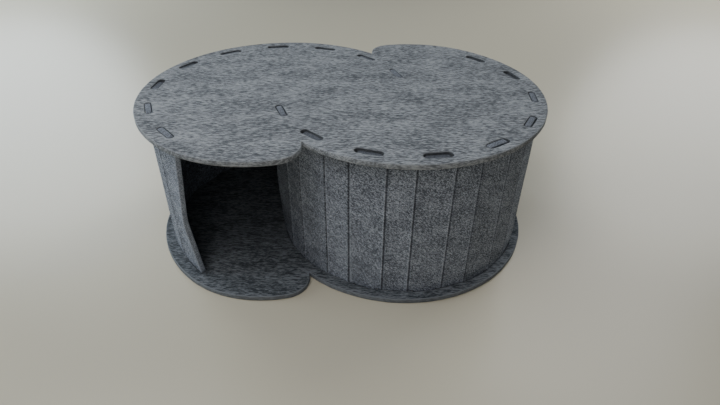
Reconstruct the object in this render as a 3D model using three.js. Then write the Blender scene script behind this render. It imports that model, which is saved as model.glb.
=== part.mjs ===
// Cat hideaway bed of stiff grey felt board, about 597 x 423 x 230 mm.
//
// Two equal panels, each cut as two overlapping round lobes, lie at the top and at the bottom.
// Two equal walls stand between them. Each wall is one strip, scored across and bent round its
// lobe. It ends short of the other wall, which leaves a mouth at the front of the left lobe and
// one at the back of the right lobe, and a winding way between them. Tabs along both long edges
// of a strip pass through slots in the panels. Everything repeats by half a turn about the Z axis.
//
// Frame: millimetres, +Z up, the origin on the floor under the middle of the bed, +X along the
// two lobes, -Y towards the mouth of the left lobe.

import * as THREE from 'three';

// Board and overall sizes
const TOTAL_HEIGHT = 230;
const FELT = 8;
const SEAT_GAP = 0.3;

// Wall circle: the middle tab of the left wall stands at this angle and distance from its centre
const LOBE_CENTRE_X = 92.5;
const WALL_RADIUS = 188.3;
const MIDDLE_TAB_ANGLE = 125.3;

// Wall strip, laid flat: stretches that carry a tab and plain ones take turns, with a score between
const TAB_COUNT = 9;
const TAB_STRETCH = 49;
const PLAIN_STRETCH = 36;
const END_LENGTH = 28;
const FOLD_ANGLE = 12.85;
const SCORE_WIDTH = 2.4;
const SCORE_DEPTH = 3;

// Tabs and the slots that they pass through
const TAB_WIDTH = 32;
const TAB_LENGTH = 7;
const TAB_CORNER = 2.5;
const SLOT_LENGTH = 38;
const SLOT_WIDTH = 12;
const SLOT_END_STEPS = 6;

// How far a wall's end springs outward, at the foot, at the crease and at the top of the wall
const CREASE_HEIGHT = 105;
const CREASE_SOFTNESS = 12;
const MOUTH_END = { reach: 75, edgeOut: 5.5, creaseOut: 15.5 };
const INNER_END = { reach: 60, edgeOut: 0, creaseOut: 5 };

// Panel outline: half of it as arcs that turn right, from the front notch round the left lobe
const FIRST_HEADING = -72.8;
const LOBE_ARCS = [
  { part: 'tight corner at the notch', radius: 37, sweep: 91 },
  { part: 'front over the mouth', radius: 162, sweep: 55 },
  { part: 'front left', radius: 220, sweep: 94 },
  { part: 'back, in to the next notch', radius: 203, sweep: 89 },
];
const OUTLINE_STEP = 9;

const FELT_GREY = 0x72777b;
const radians = THREE.MathUtils.degToRad;

function ahead(heading) {
  return new THREE.Vector2(Math.cos(heading), Math.sin(heading));
}

function leftOf(heading) {
  return new THREE.Vector2(-Math.sin(heading), Math.cos(heading));
}

// Places along the strip, from the end at the mouth
const TAB_PITCH = TAB_STRETCH + PLAIN_STRETCH;
const TAB_PLACES = Array.from({ length: TAB_COUNT }, (_, i) => END_LENGTH + i * TAB_PITCH);
const STRIP_LENGTH = TAB_PLACES[TAB_COUNT - 1] + END_LENGTH;
const SCORE_PLACES = TAB_PLACES.slice(1).flatMap((place) => [
  place - TAB_STRETCH / 2 - PLAIN_STRETCH,
  place - TAB_STRETCH / 2,
]);

// The bent strip seen from above: one straight run between each two scores, turning right
function bentRuns() {
  const middle = TAB_PLACES[(TAB_COUNT - 1) / 2];
  const tabRadius = ahead(radians(MIDDLE_TAB_ANGLE)).multiplyScalar(WALL_RADIUS);
  const middlePoint = new THREE.Vector2(-LOBE_CENTRE_X, 0).add(tabRadius);
  const middleHeading = radians(MIDDLE_TAB_ANGLE - 90);
  const foldsToMiddle = TAB_COUNT - 1;
  const edges = [0, ...SCORE_PLACES, STRIP_LENGTH];
  const runs = [];
  let corner = new THREE.Vector2();
  for (let i = 0; i + 1 < edges.length; i += 1) {
    const heading = middleHeading + radians(FOLD_ANGLE) * (foldsToMiddle - i);
    runs.push({ from: edges[i], to: edges[i + 1], corner, heading });
    corner = corner.clone().addScaledVector(ahead(heading), edges[i + 1] - edges[i]);
  }
  const middleRun = runs[foldsToMiddle];
  const walked = middleRun.corner.clone();
  walked.addScaledVector(ahead(middleRun.heading), middle - middleRun.from);
  const shift = middlePoint.sub(walked);
  runs.forEach((run) => run.corner.add(shift));
  return runs;
}

const RUNS = bentRuns();
const WALL_FOOT = FELT + SEAT_GAP;
const WALL_TOP = TOTAL_HEIGHT - FELT - SEAT_GAP;

// 0 at the foot and the top of the wall, 1 at the crease, with the crease a little rounded
function creaseShare(height) {
  const span = height < CREASE_HEIGHT ? CREASE_HEIGHT - WALL_FOOT : WALL_TOP - CREASE_HEIGHT;
  const away = Math.abs(height - CREASE_HEIGHT);
  const rounded = Math.hypot(away, CREASE_SOFTNESS) - CREASE_SOFTNESS;
  const farthest = Math.hypot(span, CREASE_SOFTNESS) - CREASE_SOFTNESS;
  return Math.max(0, 1 - rounded / farthest);
}

function springOut(fromEnd, height, end) {
  const near = Math.max(0, 1 - fromEnd / end.reach);
  const out = end.edgeOut + (end.creaseOut - end.edgeOut) * creaseShare(height);
  return out * near * near;
}

// The middle of the board at a place along the strip, and the way that the strip runs there
function bentPoint(place) {
  const run = RUNS.find((r) => place <= r.to) ?? RUNS[RUNS.length - 1];
  const point = run.corner.clone().addScaledVector(ahead(run.heading), place - run.from);
  return { point, heading: run.heading };
}

// A point of the wall: place along the strip, distance outward from the board's middle, height.
// At a score the two runs meet in a mitre, so that the board keeps its thickness on both sides.
function stripVertex(place, outward, height) {
  const { point, heading } = bentPoint(place);
  const mitre = SCORE_PLACES.includes(place) ? radians(FOLD_ANGLE) / 2 : 0;
  const mouthSpring = springOut(place, height, MOUTH_END);
  const innerSpring = springOut(STRIP_LENGTH - place, height, INNER_END);
  const distance = (outward + mouthSpring + innerSpring) / Math.cos(mitre);
  point.addScaledVector(leftOf(heading - mitre), distance);
  return new THREE.Vector3(point.x, point.y, height);
}

// Columns of vertices along the strip
function stripColumns() {
  const columns = [{ place: 0 }, { place: STRIP_LENGTH }];
  for (const place of SCORE_PLACES) {
    columns.push({ place: place - SCORE_WIDTH / 2 });
    columns.push({ place, cut: SCORE_DEPTH });
    columns.push({ place: place + SCORE_WIDTH / 2 });
  }
  for (const place of TAB_PLACES) {
    const half = TAB_WIDTH / 2;
    columns.push({ place: place - half, tabStarts: true, corner: true });
    columns.push({ place: place - half + TAB_CORNER, tabStarts: true });
    columns.push({ place, tabStarts: true });
    columns.push({ place: place + half - TAB_CORNER, tabStarts: true });
    columns.push({ place: place + half, corner: true });
  }
  return columns.sort((a, b) => a.place - b.place);
}

// Rows of vertices up the strip: the tab tips are the first and the last
const ROW_HEIGHTS = [
  WALL_FOOT - TAB_LENGTH,
  WALL_FOOT,
  (WALL_FOOT + CREASE_HEIGHT) / 2,
  CREASE_HEIGHT - CREASE_SOFTNESS,
  CREASE_HEIGHT + CREASE_SOFTNESS,
  (WALL_TOP + CREASE_HEIGHT) / 2,
  WALL_TOP,
  WALL_TOP + TAB_LENGTH,
];

// The closed surface of a wall, from quads on both faces and round every free edge
function wallGeometry() {
  const columns = stripColumns();
  const lastRow = ROW_HEIGHTS.length - 1;
  const positions = [];
  const triangles = [];
  const indexOf = new Map();

  function vertex(column, row, side) {
    const key = `${column} ${row} ${side}`;
    if (!indexOf.has(key)) {
      const { place, cut = 0, corner } = columns[column];
      const outward = side * FELT / 2 - (side > 0 ? cut : 0);
      const point = stripVertex(place, outward, ROW_HEIGHTS[row]);
      if (corner && row === 0) point.z += TAB_CORNER;
      if (corner && row === lastRow) point.z -= TAB_CORNER;
      indexOf.set(key, positions.length / 3);
      positions.push(point.x, point.y, point.z);
    }
    return indexOf.get(key);
  }

  function quad(a, b, c, d) {
    triangles.push(a, b, c, a, c, d);
  }

  function filled(column, row) {
    if (column < 0 || column > columns.length - 2 || row < 0 || row > lastRow - 1) return false;
    const isTabRow = row === 0 || row === lastRow - 1;
    return !isTabRow || Boolean(columns[column].tabStarts);
  }

  for (let c = 0; c + 1 < columns.length; c += 1) {
    for (let r = 0; r < lastRow; r += 1) {
      if (!filled(c, r)) continue;
      const [o00, o01, o11, o10] = [
        vertex(c, r, 1), vertex(c, r + 1, 1), vertex(c + 1, r + 1, 1), vertex(c + 1, r, 1),
      ];
      const [i00, i01, i11, i10] = [
        vertex(c, r, -1), vertex(c, r + 1, -1), vertex(c + 1, r + 1, -1), vertex(c + 1, r, -1),
      ];
      quad(o00, o01, o11, o10);
      quad(i00, i10, i11, i01);
      if (!filled(c - 1, r)) quad(i00, i01, o01, o00);
      if (!filled(c + 1, r)) quad(i10, o10, o11, i11);
      if (!filled(c, r - 1)) quad(i00, o00, o10, i10);
      if (!filled(c, r + 1)) quad(i01, i11, o11, o01);
    }
  }
  const geometry = new THREE.BufferGeometry();
  geometry.setAttribute('position', new THREE.Float32BufferAttribute(positions, 3));
  geometry.setIndex(triangles);
  geometry.computeVertexNormals();
  return geometry;
}

// Half of the panel outline, walked from a start point
function halfOutline(start) {
  const points = [];
  const here = start.clone();
  let heading = radians(FIRST_HEADING);
  for (const { radius, sweep } of LOBE_ARCS) {
    const turn = radians(sweep);
    const centre = here.clone().addScaledVector(leftOf(heading), -radius);
    const from = heading + Math.PI / 2;
    const arc = new THREE.EllipseCurve(centre.x, centre.y, radius, radius, from, from - turn, true);
    points.push(...arc.getPoints(Math.ceil(radius * turn / OUTLINE_STEP)).slice(1));
    here.copy(points[points.length - 1]);
    heading -= turn;
  }
  return points;
}

// The other half is the same one turned half round, so the walk starts half its span back
function panelOutline() {
  const span = halfOutline(new THREE.Vector2()).at(-1);
  const half = halfOutline(span.multiplyScalar(-0.5));
  return [...half, ...half.map((point) => point.clone().negate())];
}

// A slot with round ends about the place where a tab passes through the panel
function slotOutline(tabPlace) {
  const [start, end] = [-1, 1].map((side) => stripVertex(tabPlace + side * TAB_WIDTH / 2, 0, WALL_TOP));
  const middle = new THREE.Vector2((start.x + end.x) / 2, (start.y + end.y) / 2);
  const heading = Math.atan2(end.y - start.y, end.x - start.x);
  const radius = SLOT_WIDTH / 2;
  return [1, -1].flatMap((side) => {
    const centre = middle.clone().addScaledVector(ahead(heading), side * (SLOT_LENGTH / 2 - radius));
    const from = heading - side * Math.PI / 2;
    const round = new THREE.EllipseCurve(centre.x, centre.y, radius, radius, from, from + Math.PI, false);
    return round.getPoints(SLOT_END_STEPS);
  });
}

function panelGeometry() {
  const shape = new THREE.Shape(panelOutline());
  for (const place of TAB_PLACES) {
    const slot = slotOutline(place);
    shape.holes.push(new THREE.Path(slot));
    shape.holes.push(new THREE.Path(slot.map((point) => point.clone().negate())));
  }
  return new THREE.ExtrudeGeometry(shape, { depth: FELT, bevelEnabled: false });
}

function feltMesh(name, geometry) {
  const material = new THREE.MeshStandardMaterial({ color: FELT_GREY, roughness: 0.95, metalness: 0 });
  const mesh = new THREE.Mesh(geometry, material);
  mesh.name = name;
  return mesh;
}

function hideawayBed() {
  const bed = new THREE.Group();

  const base = feltMesh('base_panel', panelGeometry());
  const top = feltMesh('top_panel', panelGeometry());
  top.position.z = TOTAL_HEIGHT - FELT;

  const leftWall = feltMesh('wall_left', wallGeometry());
  const rightWall = feltMesh('wall_right', wallGeometry());
  rightWall.rotation.z = Math.PI;

  bed.add(base, leftWall, rightWall, top);
  return bed;
}

export default hideawayBed();
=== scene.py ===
"""Cat hideaway bed of stiff grey felt board: the looks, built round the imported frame.

The object's lengths are in millimetres in the tables and functions below, and become metres
where a mesh is made. Each piece is cut flat from 8 mm board, as outline, slots and tabs, and is
then laid, or scored and bent, into place. The flat place of every point is kept on the mesh, so
the felt's grain follows the board and not the room.
"""

import math

import bmesh
import bpy
import numpy as np
from mathutils import Matrix, Vector, noise
from mathutils.geometry import delaunay_2d_cdt


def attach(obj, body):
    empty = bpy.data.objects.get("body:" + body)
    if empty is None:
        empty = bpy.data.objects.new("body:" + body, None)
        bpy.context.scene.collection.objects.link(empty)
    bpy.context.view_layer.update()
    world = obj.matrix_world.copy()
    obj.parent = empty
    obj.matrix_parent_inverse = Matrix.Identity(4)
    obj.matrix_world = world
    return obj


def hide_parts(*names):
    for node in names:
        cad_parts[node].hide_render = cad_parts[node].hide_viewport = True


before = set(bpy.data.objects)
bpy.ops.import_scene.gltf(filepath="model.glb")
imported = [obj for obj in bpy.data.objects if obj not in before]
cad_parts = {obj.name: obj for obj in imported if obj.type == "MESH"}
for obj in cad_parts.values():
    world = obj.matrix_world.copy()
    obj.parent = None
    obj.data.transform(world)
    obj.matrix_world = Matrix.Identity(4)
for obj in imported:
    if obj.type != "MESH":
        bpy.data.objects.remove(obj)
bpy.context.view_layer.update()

MM = 0.001

# Board and overall sizes, as in the solids
TOTAL_HEIGHT = 230.0
FELT = 8.0
EDGE_RADIUS = 1.4
SEAT_GAP = 0.3
WALL_FOOT = FELT + SEAT_GAP
WALL_BODY = TOTAL_HEIGHT - 2 * WALL_FOOT

# Wall circle and the strip laid flat
LOBE_CENTRE_X = 92.5
WALL_RADIUS = 188.3
MIDDLE_TAB_ANGLE = 125.3
TAB_COUNT = 9
TAB_STRETCH = 49.0
PLAIN_STRETCH = 36.0
END_LENGTH = 28.0
FOLD_ANGLE = 12.85
FOLD_HALF = 1.6
TAB_PITCH = TAB_STRETCH + PLAIN_STRETCH
TAB_PLACES = [END_LENGTH + TAB_PITCH * i for i in range(TAB_COUNT)]
STRIP_LENGTH = TAB_PLACES[-1] + END_LENGTH
SCORE_PLACES = sorted(
    [place - TAB_STRETCH / 2 - PLAIN_STRETCH for place in TAB_PLACES[1:]]
    + [place - TAB_STRETCH / 2 for place in TAB_PLACES[1:]]
)

# Scores: a narrow V cut with a lip pushed up on both sides. The lip with a painted highlight is the one
# away from the mouth, and past a place near the inner end it is the other one.
SCORE_HALF = 1.0
SCORE_DEPTH = 1.7
SCORE_UNEVEN = {"share": 0.22, "lump": 40.0, "apart": 3.7, "seed": 3}
LIP_FROM = 0.8
LIP_REACH = 3.0
LIP_RISE = 0.45
LIP_START = 0.15
HIGHLIGHT_LIP_FROM = 1.4
HIGHLIGHT_LIP_TO = 2.9
HIGHLIGHT_LIP_TURN = 540.0

# How dark a score's painted shade is: full in its middle, none beyond its reach, and broken by stray fibres
SCORE_SHADE = {"strength": 1.6, "reach": 1.3}
SCORE_BREAKS = {"middle": 0.95, "change": 0.6, "least": 0.4, "lump": 11.0}

# Tabs and slots
TAB_WIDTH = 32.0
TAB_LENGTH = 7.0
TAB_CORNER = 2.5
TAB_REACH = TAB_WIDTH / 2 + 0.5
SLOT_LENGTH = 38.0
BASE_SLOT_WIDTH = 9.5

# How far a wall's end springs outward, at the edge and at the crease
CREASE_HEIGHT = 105.0
CREASE_SOFTNESS = 8.0
MOUTH_END = {"reach": 75.0, "edge_out": 5.5, "crease_out": 15.5}
INNER_END = {"reach": 60.0, "edge_out": 0.0, "crease_out": 5.0}

# Panel outline: half of it as arcs that turn right, from the front notch round the left lobe
FIRST_HEADING = -72.8
LOBE_ARCS = [
    {"part": "tight corner at the notch", "radius": 37.0, "sweep": 91.0},
    {"part": "front over the mouth", "radius": 162.0, "sweep": 55.0},
    {"part": "front left", "radius": 220.0, "sweep": 94.0},
    {"part": "back, in to the next notch", "radius": 203.0, "sweep": 89.0},
]

# How each tab shows on top: how wide its slot is, how deep its tip lies at its two ends, how far
# it leans to the outside and how far it sits along the slot. Tab 0 is at the wall's mouth end.
LEFT_TABS = [
    {"tab": 0, "slot": 10.0, "dip_start": 1.4, "dip_end": 0.5, "lean": -0.2, "along": 2.2},
    {"tab": 1, "slot": 9.5, "dip_start": 1.0, "dip_end": 0.5, "lean": 0.3, "along": 1.5},
    {"tab": 2, "slot": 12.0, "dip_start": 1.8, "dip_end": 3.2, "lean": 1.8, "along": 1.0},
    {"tab": 3, "slot": 12.0, "dip_start": 2.2, "dip_end": 3.4, "lean": 1.6, "along": 0.0},
    {"tab": 4, "slot": 11.0, "dip_start": 2.2, "dip_end": 2.2, "lean": 0.3, "along": 0.4},
    {"tab": 5, "slot": 12.0, "dip_start": 2.5, "dip_end": 2.5, "lean": 0.0, "along": 0.0},
    {"tab": 6, "slot": 11.5, "dip_start": 2.9, "dip_end": 3.1, "lean": 0.4, "along": 0.2},
    {"tab": 7, "slot": 10.5, "dip_start": 2.1, "dip_end": 2.1, "lean": 0.0, "along": 0.0},
    {"tab": 8, "slot": 9.5, "dip_start": 0.7, "dip_end": 1.3, "lean": 0.5, "along": -2.0},
]
RIGHT_TABS = [
    {"tab": 0, "slot": 12.0, "dip_start": 2.6, "dip_end": 3.0, "lean": -1.5, "along": 0.8},
    {"tab": 1, "slot": 12.0, "dip_start": 3.7, "dip_end": 3.7, "lean": -0.5, "along": 0.0},
    {"tab": 2, "slot": 10.0, "dip_start": 0.9, "dip_end": 1.7, "lean": 0.6, "along": -2.0},
    {"tab": 3, "slot": 11.0, "dip_start": 1.0, "dip_end": 1.5, "lean": -1.2, "along": -2.0},
    {"tab": 4, "slot": 12.5, "dip_start": 0.8, "dip_end": 0.7, "lean": -2.2, "along": 0.4},
    {"tab": 5, "slot": 13.0, "dip_start": 3.4, "dip_end": 3.4, "lean": -2.0, "along": 0.0},
    {"tab": 6, "slot": 12.0, "dip_start": 3.4, "dip_end": 3.2, "lean": -0.9, "along": -0.6},
    {"tab": 7, "slot": 12.0, "dip_start": 3.1, "dip_end": 2.7, "lean": -1.2, "along": 0.2},
    {"tab": 8, "slot": 10.5, "dip_start": 2.3, "dip_end": 0.8, "lean": -0.5, "along": 2.0},
]

# The tabs under the base are hidden and all sit alike
PLAIN_TABS = [
    {"tab": i, "slot": BASE_SLOT_WIDTH, "dip_start": 1.3, "dip_end": 1.3, "lean": 0.0, "along": 0.0}
    for i in range(TAB_COUNT)
]

# Painted shade in the slots: how far from its root a tab is fully shaded, how long its tip is and how
# dark by the depth at which it lies, how far a slot's own painted shade reaches, and its share on the
# rounded edge
ROOT_SHADE = 2.0
TIP_BAND = 1.0
TIP_SHADE = {"least": 0.45, "more": 0.5, "from_dip": 0.6, "over": 2.6}
SLOT_SHADE_REACH = EDGE_RADIUS + 0.2
SLOT_EDGE_SHADE = 0.4

# Unevenness of the boards: how far it moves them and how wide its lumps are. A point in the face
# band counts as lying on the face.
STRIP_WAVES = {"rise": 0.35, "lump": 55.0}
WALL_FACE = {"rise": 0.12, "lump": 9.0}
PANEL_FACE = {"rise": 0.1, "lump": 9.0}
RAGGED_RIM = {"inward": 0.25, "rise": 0.3, "lump": 12.0}
RAGGED_SLOT = {"rise": 0.35, "lump": 7.0}
SLOT_SINK = {"depth": 0.35, "reach": 3.0}
FACE_BAND = 0.5
TOP_WAVES = {"rise": 0.25, "lump": 120.0, "seed": 5}

# The base's free rim lifts here and there, past a distance from both lobes' middles
BASE_LIFT = {"from": 196.0, "over": 18.0, "middle": 0.5, "change": 0.9, "most": 1.4}
BASE_LUMPS = {"lump": 90.0, "seed": 8}

# Mesh steps: how far apart points stand on outlines, faces and the rounded edge
TRACK_STEP = 0.1
OUTLINE_STEP = 2.4
FACE_STEP = 6.0
FACE_ROW_SHARE = 0.866
STRIP_ROW = 5.5
STRIP_COLUMN = 4.5
SLOT_POINTS = 9
EDGE_ANGLES = (90.0, 62.0, 32.0, 0.0)
SIDE_ROWS = 2

# Rows and columns of points beside scores, on tabs and beside slots and the rim
SCORE_COLUMNS = (0.4, SCORE_HALF, 1.5, 2.1, LIP_REACH)
TAB_SIDE_ROWS = (1.6, 3.2)
TAB_TIP_COLUMNS = np.linspace(6.0 - TAB_WIDTH / 2, TAB_WIDTH / 2 - 6.0, 6)
TAB_FACE_COLUMNS = np.linspace(-11.0, 11.0, 5)
TAB_FACE_ROW = 3.0
EDGE_FROM_TAB = 1.0
STRIP_CORNER = 1.6
LOOP_CLEARANCE = 1.3
SLOT_ROWS = (4.2, 2.4)
RIM_ROW = 4.0
GRID_FROM_SLOTS = 6.0
GRID_FROM_RIM = 5.5

# A distance that counts as none, a factor that leaves out the height, how far apart in the grain the
# pieces lie, and a limit on how much farther than its sides a sharp corner moves
TOUCH = 1e-6
LEVEL = (1, 1, 0)
GRAIN_APART = 40.0
SHARPEST = 0.6


def ahead(heading):
    return np.array([math.cos(heading), math.sin(heading)])


def left_of(heading):
    return np.array([-math.sin(heading), math.cos(heading)])


def uneven(points, size, seed):
    """Smooth noise from -1 to 1 at each point, with lumps about size apart."""
    shift = Vector((seed * 17.3, seed * 5.1, seed * 9.7))
    return np.array([noise.noise(Vector(p) / size + shift) for p in np.asarray(points, float)])


def smooth(share):
    share = np.clip(share, 0.0, 1.0)
    return share * share * (3.0 - 2.0 * share)


# Flat board: a cut-out with rounded edges

def inset(loop, distance):
    """A closed loop moved to its left, into the material."""
    loop = np.asarray(loop, float)
    back = loop - np.roll(loop, 1, axis=0)
    front = np.roll(loop, -1, axis=0) - loop
    back /= np.linalg.norm(back, axis=1)[:, None]
    front /= np.linalg.norm(front, axis=1)[:, None]
    middle = np.stack([-(back + front)[:, 1], (back + front)[:, 0]], axis=1)
    middle /= np.linalg.norm(middle, axis=1)[:, None]
    side = np.stack([-front[:, 1], front[:, 0]], axis=1)
    reach = np.clip((middle * side).sum(axis=1), SHARPEST, 1.0)
    return loop + middle * (distance / reach)[:, None]


def inside(points, loop):
    """Which points lie inside a closed loop."""
    x, y = points[:, 0][:, None], points[:, 1][:, None]
    x0, y0 = loop[:, 0][None], loop[:, 1][None]
    x1, y1 = np.roll(loop[:, 0], -1)[None], np.roll(loop[:, 1], -1)[None]
    crosses = (y0 > y) != (y1 > y)
    at = x0 + (y - y0) * (x1 - x0) / np.where(y1 == y0, 1.0, y1 - y0)
    return (crosses & (x < at)).sum(axis=1) % 2 == 1


def clear_of(points, loop, distance):
    """Which points lie farther than a distance from every corner of a loop."""
    gaps = np.linalg.norm(points[:, None, :] - loop[None, :, :], axis=2)
    return gaps.min(axis=1) > distance


def edge_profile():
    """Rings of a rounded edge from the upper face to the lower one: how far in, how high."""
    half = FELT / 2
    upper = []
    for angle in EDGE_ANGLES:
        across, up = ahead(math.radians(angle))
        upper.append((EDGE_RADIUS * (1 - across), half - EDGE_RADIUS * (1 - up)))
    straight = half - EDGE_RADIUS
    side = [(0.0, straight * (1 - 2 * (k + 1) / (SIDE_ROWS + 1))) for k in range(SIDE_ROWS)]
    lower = [(distance, -height) for distance, height in reversed(upper)]
    return upper + side + lower


def cut_board(outline, holes, face_points):
    """A flat board as (points, faces): u and v in its plane, w through its thickness.

    Outline and holes run with the material on their left."""
    profile = edge_profile()
    loops = [np.asarray(outline, float)] + [np.asarray(hole, float) for hole in holes]
    points, faces, upper_ids, lower_ids, flat_loops = [], [], [], [], []
    for loop in loops:
        n = len(loop)
        first = len(points)
        for distance, height in profile:
            ring = inset(loop, distance) if distance else loop
            points += [(u, v, height) for u, v in ring]
        for k in range(len(profile) - 1):
            a, b = first + k * n, first + (k + 1) * n
            faces += [(a + i, b + i, b + (i + 1) % n, a + (i + 1) % n) for i in range(n)]
        upper_ids.append(list(range(first, first + n)))
        lower_ids.append(list(range(first + (len(profile) - 1) * n, first + len(profile) * n)))
        flat_loops.append(np.array([points[i][:2] for i in upper_ids[-1]]))
    kept = face_points[inside(face_points, flat_loops[0])]
    for loop in flat_loops[1:]:
        kept = kept[~inside(kept, loop)]
    for loop in flat_loops:
        kept = kept[clear_of(kept, loop, LOOP_CLEARANCE)]
    plane = np.concatenate(flat_loops + [kept])
    ties, start = [], 0
    for loop in flat_loops:
        n = len(loop)
        ties += [(start + i, start + (i + 1) % n) for i in range(n)]
        start += n
    found = delaunay_2d_cdt([Vector(p) for p in plane], ties, [], 0, TOUCH, True)
    triangles = np.array([[found[3][i][0] for i in face] for face in found[2]])
    corners = plane[triangles]
    middles = corners.mean(axis=1)
    keep = inside(middles, flat_loops[0])
    for loop in flat_loops[1:]:
        keep &= ~inside(middles, loop)
    for height, rim in ((FELT / 2, upper_ids), (-FELT / 2, lower_ids)):
        ids = [i for loop in rim for i in loop]
        ids += range(len(points), len(points) + len(kept))
        points += [(u, v, height) for u, v in kept]
        turn = 1 if height > 0 else -1
        faces += [tuple(ids[i] for i in triangle[::turn]) for triangle in triangles[keep]]
    return np.array(points), faces


def make_piece(name, flat, placed, faces, marks):
    """A mesh object in metres that keeps each point's flat place and its marks."""
    mesh = bpy.data.meshes.new(name)
    mesh.from_pydata([tuple(p) for p in np.asarray(placed) * MM], [], faces)
    work = bmesh.new()
    work.from_mesh(mesh)
    bmesh.ops.recalc_face_normals(work, faces=work.faces)
    work.to_mesh(mesh)
    work.free()
    place = mesh.attributes.new("flat_place", "FLOAT_VECTOR", "POINT")
    place.data.foreach_set("vector", np.asarray(flat, np.float32).ravel())
    for mark, values in marks.items():
        layer = mesh.attributes.new(mark, "FLOAT", "POINT")
        layer.data.foreach_set("value", np.asarray(values, np.float32))
    mesh.shade_smooth()
    piece = bpy.data.objects.new(name, mesh)
    bpy.context.scene.collection.objects.link(piece)
    return piece


# The strip's way round its lobe, seen from above

def strip_track():
    """Close places along the strip, with the point and the heading there."""
    places = np.arange(0.0, STRIP_LENGTH + TRACK_STEP / 2, TRACK_STEP)
    folds = np.zeros_like(places)
    for score in SCORE_PLACES:
        folds += smooth((places - score + FOLD_HALF) / (2 * FOLD_HALF))
    middle = TAB_PLACES[TAB_COUNT // 2]
    heading = math.radians(MIDDLE_TAB_ANGLE - 90) + math.radians(FOLD_ANGLE) * (TAB_COUNT - 1 - folds)
    steps = np.stack([np.cos(heading), np.sin(heading)], axis=1) * TRACK_STEP
    track = np.concatenate([[[0.0, 0.0]], np.cumsum((steps[1:] + steps[:-1]) / 2, axis=0)])
    target = np.array([-LOBE_CENTRE_X, 0.0]) + WALL_RADIUS * ahead(math.radians(MIDDLE_TAB_ANGLE))
    at_middle = [np.interp(middle, places, track[:, axis]) for axis in (0, 1)]
    return places, track + target - at_middle, heading


TRACK = strip_track()


def crease_share(height):
    """1 at the crease's height, falling to 0 at the wall's foot and top."""
    foot, top = WALL_FOOT, TOTAL_HEIGHT - WALL_FOOT
    span = np.where(height < CREASE_HEIGHT, CREASE_HEIGHT - foot, top - CREASE_HEIGHT)
    rounded = np.hypot(height - CREASE_HEIGHT, CREASE_SOFTNESS) - CREASE_SOFTNESS
    farthest = np.hypot(span, CREASE_SOFTNESS) - CREASE_SOFTNESS
    return np.clip(1.0 - rounded / farthest, 0.0, 1.0)


def spring_out(from_end, height, end):
    """How far outward a wall stands near one of its ends."""
    near = np.clip(1.0 - from_end / end["reach"], 0.0, None)
    out = end["edge_out"] + (end["crease_out"] - end["edge_out"]) * crease_share(height)
    return out * near * near


def bend_strip(flat):
    """Points of the flat strip (along, height, outward) placed round the left lobe."""
    along, height, outward = np.asarray(flat, float).T
    places, track, heading = TRACK
    x = np.interp(along, places, track[:, 0])
    y = np.interp(along, places, track[:, 1])
    turn = np.interp(along, places, heading)
    past = along - np.clip(along, 0.0, STRIP_LENGTH)
    distance = outward + spring_out(along, height, MOUTH_END)
    distance += spring_out(STRIP_LENGTH - along, height, INNER_END)
    x += past * np.cos(turn) - distance * np.sin(turn)
    y += past * np.sin(turn) + distance * np.cos(turn)
    return np.stack([x, y, height], axis=1)


# Walls

def corner_arc(centre, radius, start, steps=4):
    angles = [math.radians(start + 90.0 * k / steps) for k in range(steps + 1)]
    return [(centre[0] + radius * math.cos(a), centre[1] + radius * math.sin(a)) for a in angles]


def strip_columns():
    """Places along the strip where points stand: even steps, and close ones at each score."""
    offsets = [-offset for offset in SCORE_COLUMNS] + [0.0, *SCORE_COLUMNS]
    columns = [score + offset for score in SCORE_PLACES for offset in offsets]
    edges = [0.0, *SCORE_PLACES, STRIP_LENGTH]
    for start, end in zip(edges, edges[1:]):
        low = start + LIP_REACH
        high = end - LIP_REACH
        count = max(2, round((high - low) / STRIP_COLUMN))
        columns += [low + (high - low) * k / count for k in range(count + 1)]
    return sorted({round(place, 3) for place in columns})


def long_edge(columns):
    """The strip's lower edge with its tabs, left to right, with the body at v = 0."""
    edge = []
    half = TAB_WIDTH / 2
    for place in columns:
        if all(abs(place - tab) > half + EDGE_FROM_TAB for tab in TAB_PLACES):
            edge.append((place, 0.0))
    for tab in TAB_PLACES:
        left, right, tip = tab - half, tab + half, -TAB_LENGTH
        edge += [(left, 0.0), *((left, -row) for row in TAB_SIDE_ROWS)]
        edge += corner_arc((left + TAB_CORNER, tip + TAB_CORNER), TAB_CORNER, 180.0)
        edge += [(tab + step, tip) for step in TAB_TIP_COLUMNS]
        edge += corner_arc((right - TAB_CORNER, tip + TAB_CORNER), TAB_CORNER, 270.0)
        edge += [*((right, -row) for row in reversed(TAB_SIDE_ROWS)), (right, 0.0)]
    bands = {round(u, 4): [] for u, _ in edge}
    for u, v in edge:
        bands[round(u, 4)].append((u, v))
    ordered = []
    for u in sorted(bands):
        column = bands[u]
        rising = any(abs(u - (tab + half)) < 1e-3 for tab in TAB_PLACES)
        ordered += sorted(column, key=lambda p: p[1] if rising else -p[1])
    return ordered


def strip_outline(columns):
    """The whole cut strip, with the material on the left of the walk."""
    corner = STRIP_CORNER
    low = [p for p in long_edge(columns) if corner < p[0] < STRIP_LENGTH - corner]
    high = [(u, WALL_BODY - v) for u, v in reversed(low)]
    rows = np.linspace(STRIP_ROW, WALL_BODY - STRIP_ROW, round(WALL_BODY / STRIP_ROW) - 1)
    outline = low
    outline += corner_arc((STRIP_LENGTH - corner, corner), corner, 270.0)
    outline += [(STRIP_LENGTH, v) for v in rows]
    outline += corner_arc((STRIP_LENGTH - corner, WALL_BODY - corner), corner, 0.0)
    outline += high
    outline += corner_arc((corner, WALL_BODY - corner), corner, 90.0)
    outline += [(0.0, v) for v in reversed(rows)]
    outline += corner_arc((corner, corner), corner, 180.0)
    return np.array(outline)


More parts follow.
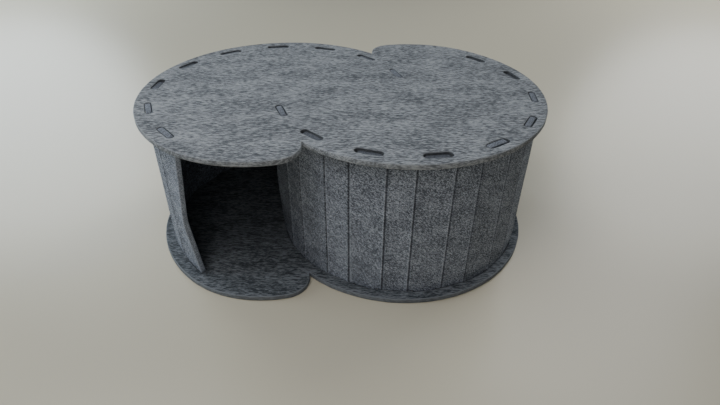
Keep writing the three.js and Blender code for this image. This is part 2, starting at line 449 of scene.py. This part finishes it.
def score_cut(along, height, seed):
    """Depth of the scores and rise of their lips at places on the outer face."""
    cut = np.zeros_like(along)
    lip = np.zeros_like(along)
    for k, score in enumerate(SCORE_PLACES):
        places = [(k * SCORE_UNEVEN["apart"], h, seed) for h in height]
        change = SCORE_UNEVEN["share"] * uneven(places, SCORE_UNEVEN["lump"], SCORE_UNEVEN["seed"])
        away = np.abs(along - score)
        cut = np.maximum(cut, SCORE_DEPTH * (1.0 + change) * np.clip(1.0 - away / SCORE_HALF, 0.0, 1.0))
        outward = np.clip((away - SCORE_HALF) / (LIP_REACH - SCORE_HALF), 0.0, 1.0)
        ridge = np.sin(math.pi * np.clip(outward + LIP_START, 0.0, 1.0))
        on_lip = (away > LIP_FROM) & (away < LIP_REACH)
        lip = np.maximum(lip, LIP_RISE * ridge * on_lip)
    return cut, lip


def score_marks(flat, seed):
    """Two marks, up to 1: painted shade in the bottom of a score and a painted highlight on its paler lip,
    broken by stray fibres.
    """
    along = flat[:, 0]
    past = along[:, None] - np.array(SCORE_PLACES)[None]
    past = past[np.arange(len(along)), np.argmin(np.abs(past), axis=1)]
    groove_shade = np.clip(SCORE_SHADE["strength"] * (1.0 - np.abs(past) / SCORE_SHADE["reach"]), 0.0, 1.0)
    highlight_side = past * np.where(along < HIGHLIGHT_LIP_TURN, 1.0, -1.0)
    lip_highlight = (highlight_side > HIGHLIGHT_LIP_FROM) & (highlight_side < HIGHLIGHT_LIP_TO)
    change = SCORE_BREAKS["change"] * uneven(flat * LEVEL, SCORE_BREAKS["lump"], seed)
    broken = np.clip(SCORE_BREAKS["middle"] + change, SCORE_BREAKS["least"], 1.0)
    return {"score": groove_shade * broken, "lip": lip_highlight * broken}


def tip_dip(row, across):
    """How deep a tab's tip lies at a share of its width."""
    return row["dip_start"] + (row["dip_end"] - row["dip_start"]) * across


def set_tabs(flat, tabs, upper):
    """Moves the tabs along one long edge to how they sit in their slots."""
    flat = flat.copy()
    beyond = flat[:, 1] - WALL_BODY if upper else -flat[:, 1]
    for row in tabs:
        place = TAB_PLACES[row["tab"]]
        mine = (beyond > -TOUCH) & (np.abs(flat[:, 0] - place) < TAB_REACH)
        across = np.clip((flat[:, 0] - place) / TAB_WIDTH + 0.5, 0.0, 1.0)
        share = np.where(mine, beyond / TAB_LENGTH, 0.0)
        grown = share * (WALL_FOOT - tip_dip(row, across))
        flat[:, 1] = np.where(mine, WALL_BODY + grown if upper else -grown, flat[:, 1])
        flat[:, 0] += row["along"] * share
        flat[:, 2] += row["lean"] * share
    return flat


def tab_recess(flat, tabs):
    """How much painted shade the tabs' felt gets in the slots: less on a tip that lies near the top."""
    beyond = np.maximum(flat[:, 1] - WALL_BODY, -flat[:, 1])
    recess = np.clip(beyond / ROOT_SHADE, 0.0, 1.0)
    at_tip = flat[:, 1] > WALL_BODY + TAB_LENGTH - TIP_BAND
    for row in tabs:
        past = flat[:, 0] - TAB_PLACES[row["tab"]]
        dip = tip_dip(row, past / TAB_WIDTH + 0.5)
        deeper = np.clip((dip - TIP_SHADE["from_dip"]) / TIP_SHADE["over"], 0.0, 1.0)
        mine = at_tip & (np.abs(past) < TAB_REACH)
        recess = np.where(mine, TIP_SHADE["least"] + TIP_SHADE["more"] * deeper, recess)
    return recess


def wall_piece(name, top_tabs, half_turn, seed):
    """One wall: the strip cut flat, scored, and bent round its lobe."""
    columns = strip_columns()
    outline = strip_outline(columns)
    rows = np.linspace(0.0, WALL_BODY, round(WALL_BODY / STRIP_ROW) + 1)
    grid = np.array([(u, v) for u in columns for v in rows])
    tab_rows = [
        (tab + u, v)
        for tab in TAB_PLACES
        for u in TAB_FACE_COLUMNS
        for v in (-TAB_FACE_ROW, WALL_BODY + TAB_FACE_ROW)
    ]
    flat, faces = cut_board(outline, [], np.concatenate([grid, tab_rows]))
    cut, lip = score_cut(flat[:, 0], flat[:, 1], seed)
    outer = np.clip(flat[:, 2] / (FELT / 2), 0.0, 1.0)
    moved = flat.copy()
    moved[:, 2] += (lip - cut) * outer
    moved[:, 2] += STRIP_WAVES["rise"] * uneven(flat * LEVEL, STRIP_WAVES["lump"], seed)
    moved[:, 2] += WALL_FACE["rise"] * uneven(flat, WALL_FACE["lump"], seed + 1) * outer
    moved = set_tabs(moved, top_tabs, upper=True)
    moved = set_tabs(moved, PLAIN_TABS, upper=False)
    moved[:, 1] += WALL_FOOT
    placed = bend_strip(moved)
    if half_turn:
        placed[:, :2] *= -1
    # Painted shade in the scores and a painted highlight on one lip of each, on the outer face only
    marks = {mark: values * outer for mark, values in score_marks(flat, seed).items()}
    # Painted shade on the tabs where they sit in the slots, and the edge and side marks
    marks.update(board_marks(flat), recess=tab_recess(flat, top_tabs))
    return make_piece(name, flat + (0, 0, seed * GRAIN_APART), placed, faces, marks)


def board_marks(flat):
    """Two marks: 1 on the rounded edge between face and side, and 1 on the cut side."""
    half = FELT / 2
    height = np.abs(flat[:, 2])
    side = height <= half - EDGE_RADIUS + TOUCH
    edge = ~side & (height < half - TOUCH)
    return {"edge": edge.astype(float), "side": side.astype(float)}


# Panels

def half_outline():
    """Half of the panel's outline, walked from the origin without that first point."""
    points, here, heading = [], np.zeros(2), math.radians(FIRST_HEADING)
    for arc in LOBE_ARCS:
        radius, turn = arc["radius"], math.radians(arc["sweep"])
        centre = here - left_of(heading) * radius
        count = math.ceil(radius * turn / OUTLINE_STEP)
        for k in range(1, count + 1):
            points.append(centre + left_of(heading - turn * k / count) * radius)
        here = points[-1]
        heading -= turn
    return np.array(points)


def panel_outline():
    """The outline run with the material on its left; the second half is the first turned round."""
    half = half_outline()
    half = half - half[-1] / 2
    return np.concatenate([half, -half])[::-1]


def slot_loop(tab_place, width, half_turn, seed):
    """A round-ended slot where a tab passes, run with the material on its left."""
    ends = bend_strip([(tab_place + s * TAB_WIDTH / 2, TOTAL_HEIGHT - WALL_FOOT, 0.0) for s in (-1, 1)])
    start, end = ends[:, :2] * (-1 if half_turn else 1)
    heading = math.atan2(*(end - start)[::-1])
    middle = (start + end) / 2
    radius = width / 2
    loop = []
    for side in (1, -1):
        centre = middle + ahead(heading) * side * (SLOT_LENGTH / 2 - radius)
        turns = np.linspace(-90.0, 90.0, SLOT_POINTS) + (0.0 if side > 0 else 180.0)
        loop += [centre + radius * ahead(heading + math.radians(t)) for t in turns]
        run = np.linspace(1.0, -1.0, SLOT_POINTS)[1:-1] * side * (SLOT_LENGTH / 2 - radius)
        loop += [middle + ahead(heading) * r + left_of(heading) * radius * side for r in run]
    loop = np.array(loop)[::-1]
    wobble = RAGGED_SLOT["rise"] * uneven(np.c_[loop, np.zeros(len(loop))], RAGGED_SLOT["lump"], seed)
    return loop - (inset(loop, 1.0) - loop) * wobble[:, None]


def away_from(points, loops):
    """How far each point is from the nearest corner of several loops."""
    gaps = [np.linalg.norm(points[:, None] - loop[None], axis=2).min(axis=1) for loop in loops]
    return np.min(gaps, axis=0)


def panel_piece(name, floor_height, waviness, left_tabs, right_tabs, seed):
    """One panel: cut flat with a slot for each tab, and laid at its height."""
    outline = panel_outline()
    ragged = uneven(np.c_[outline, np.zeros(len(outline))], RAGGED_RIM["lump"], seed)
    inward = RAGGED_RIM["inward"] + RAGGED_RIM["rise"] * ragged
    outline = outline + (inset(outline, 1.0) - outline) * inward[:, None]
    slots = [
        slot_loop(TAB_PLACES[row["tab"]], row["slot"], half_turn, seed + row["tab"])
        for tabs, half_turn in ((left_tabs, False), (right_tabs, True))
        for row in tabs
    ]
    reach_x, reach_y = np.abs(outline).max(axis=0)
    xs = np.arange(-reach_x, reach_x, FACE_STEP)
    ys = np.arange(-reach_y, reach_y, FACE_STEP * FACE_ROW_SHARE)
    grid = np.array([(x + (j % 2) * FACE_STEP / 2, y) for j, y in enumerate(ys) for x in xs])
    near_slots = [inset(slot, row) for row in SLOT_ROWS for slot in slots]
    near_rim = inset(outline, RIM_ROW)[::2]
    grid = grid[away_from(grid, slots) > GRID_FROM_SLOTS]
    grid = grid[clear_of(grid, outline, GRID_FROM_RIM)]
    flat, faces = cut_board(outline, slots, np.concatenate([grid, *near_slots, near_rim]))
    moved = flat.copy()
    moved[:, 2] += FELT / 2 + waviness(flat)
    gap = away_from(flat[:, :2], slots)
    upper = np.clip(flat[:, 2] / (FELT / 2), 0.0, 1.0)
    on_face = np.abs(flat[:, 2]) > FELT / 2 - FACE_BAND
    moved[:, 2] -= SLOT_SINK["depth"] * np.exp(-((gap / SLOT_SINK["reach"]) ** 2)) * upper
    moved[:, 2] += PANEL_FACE["rise"] * uneven(flat, PANEL_FACE["lump"], seed + 1) * on_face
    moved[:, 2] += floor_height
    marks = board_marks(flat)
    # Painted shade on the slots' cut sides and, less, on their rounded edges
    marks["recess"] = (gap < SLOT_SHADE_REACH) * (marks["side"] + SLOT_EDGE_SHADE * marks["edge"])
    return make_piece(name, flat + (0, 0, seed * GRAIN_APART), moved, faces, marks)


def top_waves(flat):
    """The top panel lies on the walls and waves a little: nowhere lower than they are."""
    return TOP_WAVES["rise"] * (1.0 + uneven(flat * LEVEL, TOP_WAVES["lump"], TOP_WAVES["seed"]))


def base_waves(flat):
    """The base lies flat, and its free rim lifts here and there."""
    lobes = [np.hypot(flat[:, 0] - side * LOBE_CENTRE_X, flat[:, 1]) for side in (-1, 1)]
    outside = smooth((np.min(lobes, axis=0) - BASE_LIFT["from"]) / BASE_LIFT["over"])
    change = BASE_LIFT["change"] * uneven(flat * LEVEL, BASE_LUMPS["lump"], BASE_LUMPS["seed"])
    return outside * np.clip(BASE_LIFT["middle"] + change, 0.0, BASE_LIFT["most"])


# Felt

def add_node(tree, kind, inputs=None, **settings):
    """A shader node with its settings, and its inputs linked or set."""
    node = tree.nodes.new(kind)
    for key, value in settings.items():
        setattr(node, key, value)
    for key, value in (inputs or {}).items():
        if isinstance(value, bpy.types.NodeSocket):
            tree.links.new(value, node.inputs[key])
        else:
            node.inputs[key].default_value = value
    return node


def math_node(tree, operation, first, second):
    return add_node(tree, "ShaderNodeMath", {0: first, 1: second}, operation=operation).outputs[0]


def fibres(tree, place, length, width, angle, detail):
    """Noise drawn out along the board at an angle, with fibres about length by width (mm)."""
    turn = (0.0, 0.0, math.radians(-angle))
    turned = add_node(tree, "ShaderNodeMapping", {"Vector": place, "Rotation": turn}).outputs[0]
    drawn = (1 / length, 1 / width, 1 / width)
    scaled = add_node(tree, "ShaderNodeVectorMath", {0: turned, 1: drawn}, operation="MULTIPLY").outputs[0]
    settings = {"Vector": scaled, "Scale": 1.0, "Detail": detail, "Roughness": 0.55, "Distortion": 0.3}
    return add_node(tree, "ShaderNodeTexNoise", settings).outputs["Fac"]


def mixed(tree, layers):
    """Sum of noise layers about their middle: (noise, weight) pairs."""
    total = None
    for value, weight in layers:
        part = math_node(tree, "MULTIPLY", math_node(tree, "SUBTRACT", value, 0.5), weight)
        total = part if total is None else math_node(tree, "ADD", total, part)
    return total


# Layers of fibres in each felt, in mm along the board, with how much each one shows
PANEL_GRAIN = [
    {"length": 13.0, "width": 2.7, "angle": 1.0, "detail": 2.0, "weight": 1.8},
    {"length": 8.0, "width": 2.1, "angle": -9.0, "detail": 2.0, "weight": 1.7},
    {"length": 6.0, "width": 1.5, "angle": 13.0, "detail": 1.0, "weight": 1.6},
    {"length": 11.0, "width": 1.0, "angle": 3.0, "detail": 1.0, "weight": 1.4},
    {"length": 5.0, "width": 0.5, "angle": 25.0, "detail": 1.0, "weight": 0.9},
    {"length": 5.0, "width": 0.5, "angle": -35.0, "detail": 1.0, "weight": 0.9},
    {"length": 60.0, "width": 28.0, "angle": 8.0, "detail": 1.0, "weight": 0.9},
]
WALL_GRAIN = [
    {"length": 3.8, "width": 1.2, "angle": 40.0, "detail": 2.0, "weight": 1.9},
    {"length": 2.6, "width": 1.1, "angle": -28.0, "detail": 2.0, "weight": 1.8},
    {"length": 1.6, "width": 1.0, "angle": 75.0, "detail": 1.0, "weight": 1.5},
    {"length": 5.0, "width": 0.5, "angle": 52.0, "detail": 1.0, "weight": 1.1},
    {"length": 5.0, "width": 0.5, "angle": -20.0, "detail": 1.0, "weight": 1.0},
    {"length": 32.0, "width": 20.0, "angle": 15.0, "detail": 1.0, "weight": 0.55},
]


# The felts' colours, and how much lighter their rounded edges and cut sides are: partly paler cut fibres,
# partly a painted highlight
TOP_TONES = {
    "dark": (0.088, 0.097, 0.111),
    "middle": (0.22, 0.238, 0.262),
    "light": (0.4, 0.428, 0.46),
    "edge_fibres_and_highlight": 0.5,
    "side_fibres_and_highlight": 0.2,
}
BASE_TONES = {
    "dark": (0.046, 0.054, 0.063),
    "middle": (0.113, 0.128, 0.145),
    "light": (0.225, 0.247, 0.276),
    "edge_fibres_and_highlight": 0.95,
    "side_fibres_and_highlight": 0.55,
}
WALL_TONES = {
    "dark": (0.08, 0.091, 0.114),
    "middle": (0.197, 0.223, 0.274),
    "light": (0.52, 0.57, 0.665),
    "edge_fibres_and_highlight": 0.5,
    "side_fibres_and_highlight": 0.2,
}

# How strong the painted highlight on a score's pale lip is, and the painted shade in scores and slots
PAINTED_LIP_HIGHLIGHT = 0.34
PAINTED_SCORE_SHADE = 0.74
PAINTED_SLOT_SHADE = 0.8
SHADE_TINT_SHARE = 0.5


def felt(name, grain, tones):
    """Heathered grey felt: dark, middle and light fibres laid over each other, with painted shade and
    painted highlights from the marks.
    """
    dark, middle, light = tones["dark"], tones["middle"], tones["light"]
    material = bpy.data.materials.new(name)
    material.use_nodes = True
    tree = material.node_tree
    shader = tree.nodes["Principled BSDF"]
    place = add_node(tree, "ShaderNodeAttribute", attribute_name="flat_place").outputs["Vector"]
    layers = [
        (fibres(tree, place, row["length"], row["width"], row["angle"], row["detail"]), row["weight"])
        for row in grain
    ]
    tone = math_node(tree, "ADD", mixed(tree, layers), 0.5)
    ramp = add_node(tree, "ShaderNodeValToRGB", {"Fac": tone})
    stops = ramp.color_ramp.elements
    stops[0].position = 0.1
    stops[0].color = (*dark, 1)
    stops[1].position = 0.9
    stops[1].color = (*light, 1)
    between = stops.new(0.5)
    between.color = (*middle, 1)
    colour = ramp.outputs[0]
    # The darkest colour is for painted shade in scores and slots; the marks paint it, a painted highlight
    # on one score lip, and paler cut fibres with a painted highlight on edges and sides
    shade_tint = [c * SHADE_TINT_SHARE for c in dark]
    tints = (
        ("side", tones["side_fibres_and_highlight"], light),
        ("edge", tones["edge_fibres_and_highlight"], light),
        ("lip", PAINTED_LIP_HIGHLIGHT, light),
        ("score", PAINTED_SCORE_SHADE, shade_tint),
        ("recess", PAINTED_SLOT_SHADE, shade_tint),
    )
    for mark, share, tint in tints:
        here = add_node(tree, "ShaderNodeAttribute", attribute_name=mark).outputs["Fac"]
        blend = add_node(tree, "ShaderNodeMix", data_type="RGBA")
        tree.links.new(math_node(tree, "MULTIPLY", here, share), blend.inputs["Factor"])
        tree.links.new(colour, blend.inputs["A"])
        blend.inputs["B"].default_value = (*tint, 1)
        colour = blend.outputs["Result"]
    tree.links.new(colour, shader.inputs["Base Color"])
    relief = mixed(tree, layers[1:5])
    bump = add_node(tree, "ShaderNodeBump", {"Height": relief, "Strength": 0.6, "Distance": 0.0007})
    tree.links.new(bump.outputs[0], shader.inputs["Normal"])
    shader.inputs["Roughness"].default_value = 0.93
    shader.inputs["Specular IOR Level"].default_value = 0.12
    shader.inputs["Sheen Weight"].default_value = 0.06
    shader.inputs["Sheen Roughness"].default_value = 0.6
    shader.inputs["Sheen Tint"].default_value = (0.75, 0.8, 0.86, 1)
    return material


# Stage: a plain pale floor, in metres

FLOOR = {"reach": 12.0, "colour": (0.72, 0.676, 0.54), "roughness": 0.3}


def plain(name, colour, roughness):
    material = bpy.data.materials.new(name)
    material.use_nodes = True
    shader = material.node_tree.nodes["Principled BSDF"]
    shader.inputs["Base Color"].default_value = (*colour, 1)
    shader.inputs["Roughness"].default_value = roughness
    return material


def make_floor():
    mesh = bpy.data.meshes.new("floor")
    reach = FLOOR["reach"]
    corners = [(-reach, -reach, 0), (reach, -reach, 0), (reach, reach, 0), (-reach, reach, 0)]
    mesh.from_pydata(corners, [], [(0, 1, 2, 3)])
    floor = bpy.data.objects.new("floor", mesh)
    floor.data.materials.append(plain("pale_floor", FLOOR["colour"], FLOOR["roughness"]))
    bpy.context.scene.collection.objects.link(floor)


# Soft round lamps about the bed: where each one stands, in degrees and metres, its watts and its
# tint. Each is half as wide as it is far away.
LAMP_WIDTH = 0.5
SKY = {"colour": (0.93, 0.96, 1.0), "strength": 0.03}
COOL = (0.87, 0.95, 1.0)
PLAIN = (0.98, 1.0, 1.0)
WARM = (1.0, 0.97, 0.95)
LAMPS = [
    {"name": "front_high", "azimuth": 240.0, "raised": 60.0, "reach": 1.4, "watts": 4.6, "tint": WARM},
    {"name": "left_high", "azimuth": 180.0, "raised": 60.0, "reach": 1.4, "watts": 2.0, "tint": COOL},
    {"name": "back_right", "azimuth": 45.0, "raised": 45.0, "reach": 2.4, "watts": 10.1, "tint": PLAIN},
    {"name": "back_left_low", "azimuth": 135.0, "raised": 20.0, "reach": 2.4, "watts": 19.3, "tint": COOL},
    {"name": "back_right_low", "azimuth": 45.0, "raised": 20.0, "reach": 2.4, "watts": 12.5, "tint": PLAIN},
    {"name": "left_low", "azimuth": 180.0, "raised": 20.0, "reach": 2.4, "watts": 18.5, "tint": COOL},
    {"name": "front_low", "azimuth": 270.0, "raised": 35.0, "reach": 1.4, "watts": 1.97, "tint": WARM},
]


def make_lights():
    world = bpy.data.worlds.new("studio")
    bpy.context.scene.world = world
    world.use_nodes = True
    sky = world.node_tree.nodes["Background"]
    sky.inputs["Color"].default_value = (*SKY["colour"], 1)
    sky.inputs["Strength"].default_value = SKY["strength"]
    for row in LAMPS:
        light = bpy.data.lights.new(row["name"], "AREA")
        light.shape = "DISK"
        light.size = row["reach"] * LAMP_WIDTH
        light.energy = row["watts"]
        light.color = row["tint"]
        azimuth = math.radians(row["azimuth"])
        raised = math.radians(row["raised"])
        away = Vector((*(ahead(azimuth) * math.cos(raised)), math.sin(raised)))
        lamp = bpy.data.objects.new(row["name"], light)
        lamp.location = away * row["reach"]
        lamp.rotation_euler = (-away).to_track_quat("-Z", "Y").to_euler()
        lamp.visible_camera = False
        bpy.context.scene.collection.objects.link(lamp)


# The photo's camera, worked out from the score lines, the tabs and both outlines: degrees down,
# to the side and about its own axis, lens and sensor in mm, and its place and clipping in metres
CAMERA = {"pitch": 35.48, "yaw": 0.75, "roll": 0.73, "lens": 26.15, "sensor": 36.0}
CAMERA_PLACE = (0.0372, -0.7317, 0.5465)
CAMERA_CLIP = (0.02, 60.0)


def make_camera():
    pitch, yaw, roll = (math.radians(CAMERA[turn]) for turn in ("pitch", "yaw", "roll"))
    forward = Vector((*(left_of(yaw) * math.cos(pitch)), -math.sin(pitch)))
    right = forward.cross(Vector((0, 0, 1))).normalized()
    up = right.cross(forward)
    turned_right = right * math.cos(roll) + up * math.sin(roll)
    turned_up = up * math.cos(roll) - right * math.sin(roll)
    data = bpy.data.cameras.new("camera")
    data.sensor_fit = "HORIZONTAL"
    data.sensor_width = CAMERA["sensor"]
    data.lens = CAMERA["lens"]
    data.clip_start, data.clip_end = CAMERA_CLIP
    camera = bpy.data.objects.new("camera", data)
    turned = Matrix((turned_right, turned_up, -forward)).transposed()
    camera.matrix_world = Matrix.Translation(CAMERA_PLACE) @ turned.to_4x4()
    bpy.context.scene.collection.objects.link(camera)
    bpy.context.scene.camera = camera


def dress(piece, node, material):
    """Gives a piece its felt, hangs it on the root body and hides the part it stands in for."""
    piece.data.materials.append(material)
    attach(piece, "root")
    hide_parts(node)


def main():
    make_camera()
    make_lights()
    make_floor()
    top_felt = felt("top_felt", PANEL_GRAIN, TOP_TONES)
    base_felt = felt("base_felt", PANEL_GRAIN, BASE_TONES)
    wall_felt = felt("wall_felt", WALL_GRAIN, WALL_TONES)
    base = panel_piece("base_board", 0.0, base_waves, PLAIN_TABS, PLAIN_TABS, 11)
    dress(base, "base_panel", base_felt)
    left = wall_piece("left_wall_board", LEFT_TABS, False, 21)
    dress(left, "wall_left", wall_felt)
    right = wall_piece("right_wall_board", RIGHT_TABS, True, 31)
    dress(right, "wall_right", wall_felt)
    top = panel_piece("top_board", TOTAL_HEIGHT - FELT, top_waves, LEFT_TABS, RIGHT_TABS, 41)
    dress(top, "top_panel", top_felt)


main()
